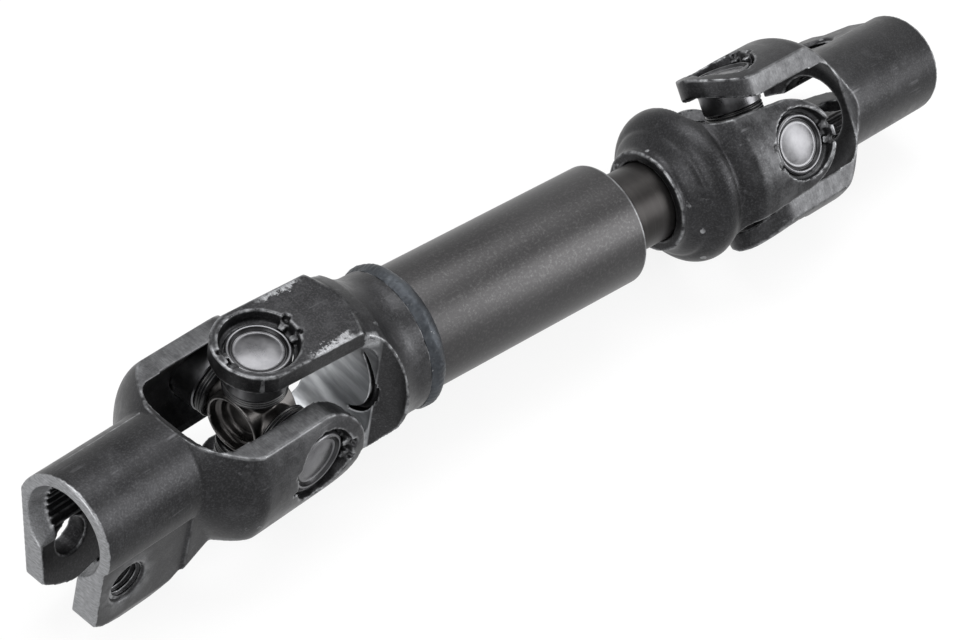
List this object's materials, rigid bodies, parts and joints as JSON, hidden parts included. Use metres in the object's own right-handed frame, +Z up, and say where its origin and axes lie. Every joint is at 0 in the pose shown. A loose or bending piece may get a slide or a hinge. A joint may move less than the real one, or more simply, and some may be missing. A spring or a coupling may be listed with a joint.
{
  "type": "steering shaft",
  "caption": "Telescoping steering shaft: splined slide in a sleeve, a universal joint and a slotted pinch-clamp yoke at each end.",
  "frame": {"origin": "centre of the bounding box's underside, with the shaft lying as in the picture", "axes": "+X along the sleeve towards the inner shaft, +Z up"},
  "size_m": [0.2966, 0.0574, 0.051],
  "materials": {
    "forged": "satin",
    "tube": "satin",
    "bearing": "polished",
    "weld": "rough",
    "ground": "satin",
    "cross": "satin",
    "seal": "gloss",
    "nylon": "matte"
  },
  "bodies": {
    "sleeve": {"sleeve_yoke": "forged", "weld_bead": "weld", "sleeve_tube": "tube", "slide_bush": "nylon", "sleeve_top_cup": "bearing", "sleeve_top_needles": "bearing", "sleeve_top_seal": "seal", "sleeve_bottom_cup": "bearing", "sleeve_bottom_needles": "bearing", "sleeve_bottom_seal": "seal"},
    "lower_cross": {"lower_spider": "cross"},
    "lower_clamp": {"lower_clamp_yoke": "forged", "lower_clamp_front_cup": "bearing", "lower_clamp_front_needles": "bearing", "lower_clamp_front_seal": "seal", "lower_clamp_back_cup": "bearing", "lower_clamp_back_needles": "bearing", "lower_clamp_back_seal": "seal"},
    "shaft": {"inner_shaft": "ground", "shaft_yoke": "forged", "shaft_front_cup": "bearing", "shaft_front_needles": "bearing", "shaft_front_seal": "seal", "shaft_back_cup": "bearing", "shaft_back_needles": "bearing", "shaft_back_seal": "seal"},
    "upper_cross": {"upper_spider": "cross"},
    "upper_clamp": {"upper_clamp_yoke": "forged", "upper_clamp_top_cup": "bearing", "upper_clamp_top_needles": "bearing", "upper_clamp_top_seal": "seal", "upper_clamp_bottom_cup": "bearing", "upper_clamp_bottom_needles": "bearing", "upper_clamp_bottom_seal": "seal"}
  },
  "joints": [
    {"name": "lower_cross_turn", "type": "hinge", "parent": "sleeve", "child": "lower_cross", "pos_m": [-0.0843, -0.0018, 0.02672], "axis": [0, 0, 1], "range_deg": [-33, 15]},
    {"name": "lower_clamp_tilt", "type": "hinge", "parent": "lower_cross", "child": "lower_clamp", "pos_m": [-0.0843, -0.0018, 0.02672], "axis": [-0.1564, 0.9877, 0], "range_deg": [-30.5, 17.5]},
    {"name": "shaft_slide", "type": "slide", "parent": "sleeve", "child": "shaft", "axis": [1, 0, 0], "range_m": [-0.012, 0.028]},
    {"name": "upper_cross_turn", "type": "hinge", "parent": "shaft", "child": "upper_cross", "pos_m": [0.0804, -0.0018, 0.02672], "axis": [0, -0.7373, 0.6756], "range_deg": [-23.5, 24.5]},
    {"name": "upper_clamp_tilt", "type": "hinge", "parent": "upper_cross", "child": "upper_clamp", "pos_m": [0.0804, -0.0018, 0.02672], "axis": [0.0087, 0.6756, 0.7372], "range_deg": [-30.9, 17.1]}
  ]
}
